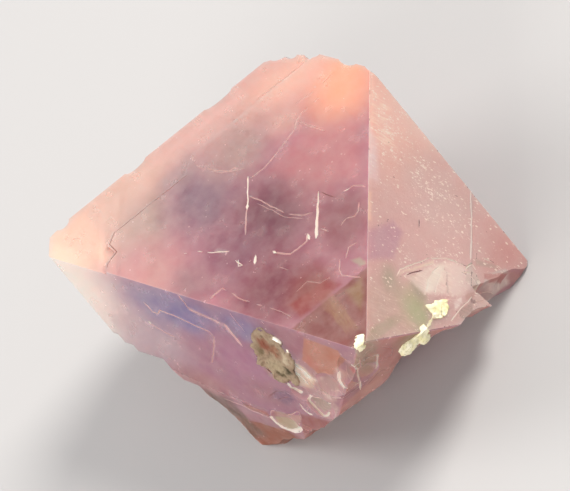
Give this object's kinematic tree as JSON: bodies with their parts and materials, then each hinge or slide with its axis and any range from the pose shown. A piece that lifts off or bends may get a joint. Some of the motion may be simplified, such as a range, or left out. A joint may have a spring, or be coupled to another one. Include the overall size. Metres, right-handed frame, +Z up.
{
  "type": "fluorite octahedron",
  "caption": "Loose hazy pink fluorite octahedron with flat stepped faces, a broken lower front and scraps of cream and brown crust.",
  "frame": {"origin": "the point of the flat base under the crystal's growth centre", "axes": "+Z up, square to the flat top face; -Y towards the front corner; X along the back edge of the top face"},
  "size_m": [0.0326, 0.0377, 0.0189],
  "materials": {
    "fluorite": "hazy mauve-pink crystal, glassy faces, one frosted face",
    "brown_crust": "rough, crumbly",
    "cream_crust": "rough, chalky"
  },
  "bodies": {
    "root": {"fluorite_crystal": "fluorite", "brown_crust": "brown_crust", "cream_crust_front": "cream_crust", "cream_crust_side": "cream_crust"}
  },
  "joints": []
}
